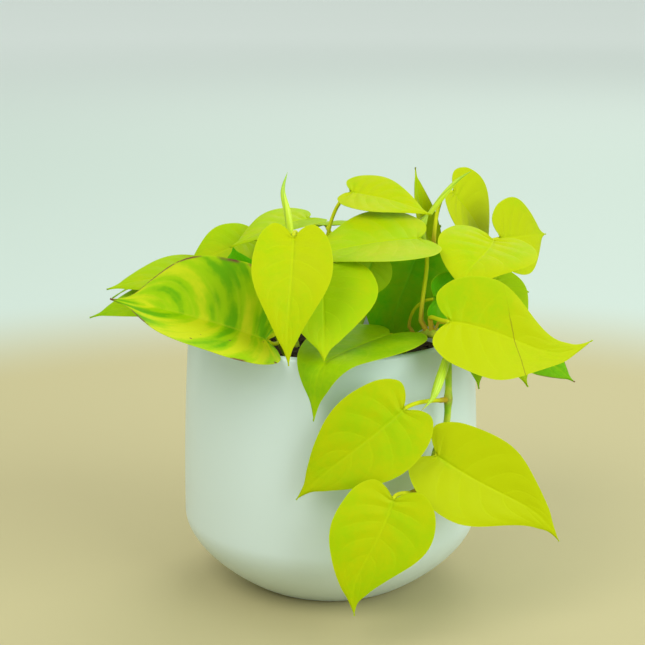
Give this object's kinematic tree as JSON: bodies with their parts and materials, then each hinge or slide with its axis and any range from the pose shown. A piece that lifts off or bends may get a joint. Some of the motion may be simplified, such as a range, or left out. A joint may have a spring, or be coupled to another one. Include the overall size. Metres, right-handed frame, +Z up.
{
  "type": "potted philodendron",
  "caption": "Trailing heartleaf philodendron with lime leaves in a round white ceramic pot, with soil, vines, sheaths and rolled new leaves; stands on its flat foot.",
  "frame": {"origin": "centre of the pot's flat foot, on the surface it stands on", "axes": "+Z up, -Y towards the viewer, +X to the right of the front view"},
  "size_m": [0.24, 0.1961, 0.2151],
  "materials": {
    "pot": "satin",
    "soil": "matte",
    "vine": "satin",
    "sheath": "satin",
    "new_leaf": "satin",
    "lime_leaf": "satin",
    "shaded_leaf": "satin",
    "striped_leaf": "satin"
  },
  "bodies": {
    "root": {"leaf_back_far_left": "lime_leaf", "leaf_back_far_right": "lime_leaf", "leaf_back_left_high": "lime_leaf", "leaf_back_left_low": "lime_leaf", "leaf_back_middle_high": "lime_leaf", "leaf_back_middle_low": "lime_leaf", "leaf_back_right_high": "lime_leaf", "leaf_back_right_low": "lime_leaf", "leaf_centre_top": "lime_leaf", "leaf_centre_wide": "lime_leaf", "leaf_deep_green": "shaded_leaf", "leaf_front_heart": "lime_leaf", "leaf_front_second": "lime_leaf", "leaf_left_inner": "lime_leaf", "leaf_left_large": "striped_leaf", "leaf_left_low": "lime_leaf", "leaf_left_second": "lime_leaf", "leaf_left_shaded": "shaded_leaf", "leaf_left_upper": "lime_leaf", "leaf_middle_under": "shaded_leaf", "leaf_right_behind": "lime_leaf", "leaf_right_drop": "lime_leaf", "leaf_right_far": "lime_leaf", "leaf_right_front": "lime_leaf", "leaf_right_hidden": "lime_leaf", "leaf_right_low": "lime_leaf", "leaf_right_top": "lime_leaf", "leaf_right_upper": "lime_leaf", "leaf_right_upright": "lime_leaf", "leaf_rim_front": "lime_leaf", "leaf_shaded_right": "shaded_leaf", "leaf_trailing_left": "lime_leaf", "leaf_trailing_low": "lime_leaf", "leaf_trailing_right": "lime_leaf", "new_leaf_middle": "new_leaf", "new_leaf_right": "new_leaf", "pot": "pot", "sheath_right": "sheath", "sheath_trailing": "sheath", "soil": "soil", "vine_back_left": "vine", "vine_back_right": "vine", "vine_left": "vine", "vine_middle": "vine", "vine_right": "vine", "vine_trailing": "vine"}
  },
  "joints": []
}
